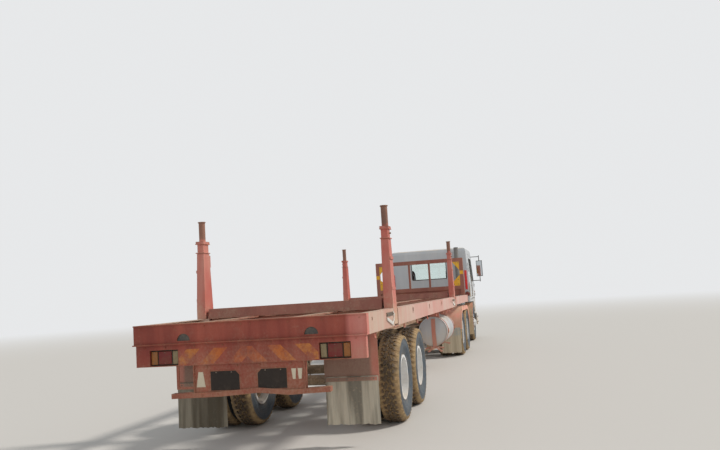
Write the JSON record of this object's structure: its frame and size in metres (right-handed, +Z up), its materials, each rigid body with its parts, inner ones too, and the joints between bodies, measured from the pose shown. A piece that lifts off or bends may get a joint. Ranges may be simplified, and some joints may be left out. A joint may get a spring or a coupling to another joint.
{
  "type": "articulated log lorry",
  "caption": "Cab-over tractor hinged to a skeletal log trailer with fold-down stakes, twin wheels, steering, tilting cab and doors.",
  "frame": {"origin": "on the ground below the middle of the overall length and width", "axes": "+X forwards along the lorry, +Y to its left, +Z up"},
  "size_m": [16.5, 2.96, 2.8],
  "materials": {
    "faded_pink": "faded paint with mud",
    "coral_red": "faded paint",
    "coral_pink": "faded paint",
    "yellow_paint": "worn paint",
    "lamp_red": "gloss",
    "lamp_clear": "gloss",
    "flap_rubber": "dusty",
    "chassis_steel": "muddy",
    "bare_steel": "greasy",
    "cast_metal": "oily",
    "tank_grey": "dusty",
    "cab_silver": "dusty gloss",
    "cab_white": "dusty gloss",
    "black_plastic": "matt",
    "dark_trim": "matt",
    "seat_cloth": "woven",
    "window_glass": "clear",
    "tyre_rubber": "dusty",
    "rim_paint": "dusty"
  },
  "bodies": {
    "tractor": {"tractor_frame": "faded_pink", "fifth_wheel": "bare_steel", "engine": "cast_metal", "drive_bogie": "chassis_steel", "front_axle": "chassis_steel", "fuel_tank": "tank_grey", "exhaust": "bare_steel", "rear_fenders": "coral_pink", "tractor_mud_flaps": "flap_rubber", "front_mudguards": "coral_pink", "bumper": "cab_white", "headlamps": "lamp_clear"},
    "trailer": {"trailer_frame": "faded_pink", "side_rails": "faded_pink", "rear_beam": "coral_red", "tail_lamps": "lamp_red", "bolsters": "faded_pink", "headboard": "yellow_paint", "trailer_mud_flaps": "flap_rubber", "trailer_bogie": "chassis_steel", "landing_gear": "chassis_steel", "water_tank": "tank_grey", "tank_cradle": "faded_pink"},
    "cab": {"cab_shell": "cab_silver", "grille": "black_plastic", "cab_glass": "window_glass", "cab_interior": "dark_trim", "seats": "seat_cloth", "mirrors": "black_plastic"},
    "stake_rear_left": {"stake_rear_left": "coral_pink"},
    "stake_rear_right": {"stake_rear_right": "coral_pink"},
    "stake_front_left": {"stake_front_left": "coral_pink"},
    "stake_front_right": {"stake_front_right": "coral_pink"},
    "wheel_trailer_rear_left": {"tyres_trailer_rear_left": "tyre_rubber", "rims_trailer_rear_left": "rim_paint"},
    "wheel_trailer_rear_right": {"tyres_trailer_rear_right": "tyre_rubber", "rims_trailer_rear_right": "rim_paint"},
    "wheel_trailer_front_left": {"tyres_trailer_front_left": "tyre_rubber", "rims_trailer_front_left": "rim_paint"},
    "wheel_trailer_front_right": {"tyres_trailer_front_right": "tyre_rubber", "rims_trailer_front_right": "rim_paint"},
    "door_left": {"door_left": "cab_silver", "door_glass_left": "window_glass"},
    "door_right": {"door_right": "cab_silver", "door_glass_right": "window_glass"},
    "knuckle_left": {"knuckle_left": "chassis_steel"},
    "knuckle_right": {"knuckle_right": "chassis_steel"},
    "tie_rod": {"tie_rod": "bare_steel"},
    "wheel_steer_left": {"tyre_steer_left": "tyre_rubber", "rim_steer_left": "rim_paint"},
    "wheel_steer_right": {"tyre_steer_right": "tyre_rubber", "rim_steer_right": "rim_paint"},
    "wheel_drive_rear_left": {"tyres_drive_rear_left": "tyre_rubber", "rims_drive_rear_left": "rim_paint"},
    "wheel_drive_rear_right": {"tyres_drive_rear_right": "tyre_rubber", "rims_drive_rear_right": "rim_paint"},
    "wheel_drive_front_left": {"tyres_drive_front_left": "tyre_rubber", "rims_drive_front_left": "rim_paint"},
    "wheel_drive_front_right": {"tyres_drive_front_right": "tyre_rubber", "rims_drive_front_right": "rim_paint"}
  },
  "joints": [
    {"name": "trailer_swing", "type": "hinge", "parent": "tractor", "child": "trailer", "pos_m": [3.1, 0, 1.215], "axis": [0, 0, 1], "range_deg": [-60, 60]},
    {"name": "stake_rear_left_fold", "type": "hinge", "parent": "trailer", "child": "stake_rear_left", "pos_m": [-6.63, 1.215, 1.27], "axis": [1, 0, 0], "range_deg": [-95, 0]},
    {"name": "stake_rear_right_fold", "type": "hinge", "parent": "trailer", "child": "stake_rear_right", "pos_m": [-6.63, -1.215, 1.27], "axis": [1, 0, 0], "range_deg": [0, 95]},
    {"name": "stake_front_left_fold", "type": "hinge", "parent": "trailer", "child": "stake_front_left", "pos_m": [0.65, 1.215, 1.27], "axis": [1, 0, 0], "range_deg": [-95, 0]},
    {"name": "stake_front_right_fold", "type": "hinge", "parent": "trailer", "child": "stake_front_right", "pos_m": [0.65, -1.215, 1.27], "axis": [1, 0, 0], "range_deg": [0, 95]},
    {"name": "wheel_trailer_rear_left_spin", "type": "hinge", "parent": "trailer", "child": "wheel_trailer_rear_left", "pos_m": [-6.13, 0.94, 0.535], "axis": [0, 1, 0], "continuous": true},
    {"name": "wheel_trailer_rear_right_spin", "type": "hinge", "parent": "trailer", "child": "wheel_trailer_rear_right", "pos_m": [-6.13, -0.94, 0.535], "axis": [0, 1, 0], "continuous": true},
    {"name": "wheel_trailer_front_left_spin", "type": "hinge", "parent": "trailer", "child": "wheel_trailer_front_left", "pos_m": [-4.83, 0.94, 0.535], "axis": [0, 1, 0], "continuous": true},
    {"name": "wheel_trailer_front_right_spin", "type": "hinge", "parent": "trailer", "child": "wheel_trailer_front_right", "pos_m": [-4.83, -0.94, 0.535], "axis": [0, 1, 0], "continuous": true},
    {"name": "wheel_drive_rear_left_spin", "type": "hinge", "parent": "tractor", "child": "wheel_drive_rear_left", "pos_m": [2.35, 0.94, 0.535], "axis": [0, 1, 0], "continuous": true},
    {"name": "wheel_drive_rear_right_spin", "type": "hinge", "parent": "tractor", "child": "wheel_drive_rear_right", "pos_m": [2.35, -0.94, 0.535], "axis": [0, 1, 0], "continuous": true},
    {"name": "wheel_drive_front_left_spin", "type": "hinge", "parent": "tractor", "child": "wheel_drive_front_left", "pos_m": [3.65, 0.94, 0.535], "axis": [0, 1, 0], "continuous": true},
    {"name": "wheel_drive_front_right_spin", "type": "hinge", "parent": "tractor", "child": "wheel_drive_front_right", "pos_m": [3.65, -0.94, 0.535], "axis": [0, 1, 0], "continuous": true},
    {"name": "steer_left", "type": "hinge", "parent": "tractor", "child": "knuckle_left", "pos_m": [6.9, 0.9, 0.535], "axis": [0, 0, 1], "range_deg": [-38, 38]},
    {"name": "steer_right", "type": "hinge", "parent": "tractor", "child": "knuckle_right", "pos_m": [6.9, -0.9, 0.535], "axis": [0, 0, 1], "range_deg": [-38, 38]},
    {"name": "wheel_steer_left_spin", "type": "hinge", "parent": "knuckle_left", "child": "wheel_steer_left", "pos_m": [6.9, 1.04, 0.535], "axis": [0, 1, 0], "continuous": true},
    {"name": "wheel_steer_right_spin", "type": "hinge", "parent": "knuckle_right", "child": "wheel_steer_right", "pos_m": [6.9, -1.04, 0.535], "axis": [0, 1, 0], "continuous": true},
    {"name": "tie_rod_swing", "type": "hinge", "parent": "knuckle_left", "child": "tie_rod", "pos_m": [6.68, 0.9, 0.413], "axis": [0, 0, 1], "range_deg": [-38, 38]},
    {"name": "cab_tilt", "type": "hinge", "parent": "tractor", "child": "cab", "pos_m": [8.11, 0, 0.87], "axis": [0, 1, 0], "range_deg": [0, 50]},
    {"name": "door_left_swing", "type": "hinge", "parent": "cab", "child": "door_left", "pos_m": [7.853, 1.189, 1.6], "axis": [0, 0, 1], "range_deg": [-70, 0]},
    {"name": "door_right_swing", "type": "hinge", "parent": "cab", "child": "door_right", "pos_m": [7.853, -1.189, 1.6], "axis": [0, 0, 1], "range_deg": [0, 70]}
  ],
  "couplings": [
    {"joint": "steer_right", "follows": "steer_left", "ratio": 1},
    {"joint": "tie_rod_swing", "follows": "steer_left", "ratio": -1}
  ]
}
